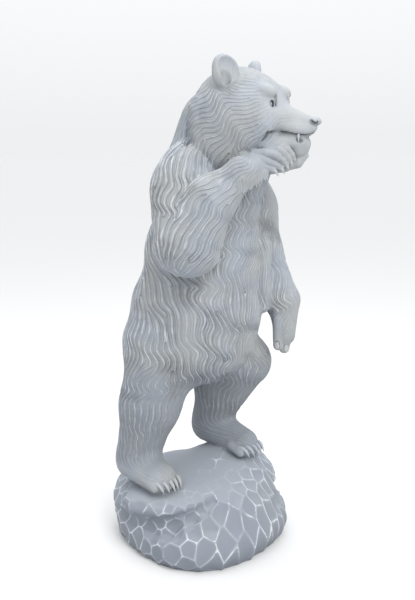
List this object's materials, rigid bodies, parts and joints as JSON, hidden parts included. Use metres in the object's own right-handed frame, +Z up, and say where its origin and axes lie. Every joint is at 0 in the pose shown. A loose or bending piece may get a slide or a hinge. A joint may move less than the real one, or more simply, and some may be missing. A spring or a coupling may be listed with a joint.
{
  "type": "bear statue",
  "caption": "Carved cast stone garden statue of a bear standing upright on a faceted rock mound, one paw raised to its chin and the other arm hanging.",
  "frame": {"origin": "centre of the mound's flat underside, on the ground", "axes": "+Z up; the bear looks along -Y; +X is the bear's left side, where the arm hangs; -X is its right side, where the arm is raised"},
  "size_m": [0.5794, 0.6841, 1.4813],
  "materials": {
    "cast_stone": "matte cast stone, cool blue-grey, with pale dry-brushed ridges and darker recesses"
  },
  "bodies": {
    "root": {"bear_statue": "cast_stone"}
  },
  "joints": []
}
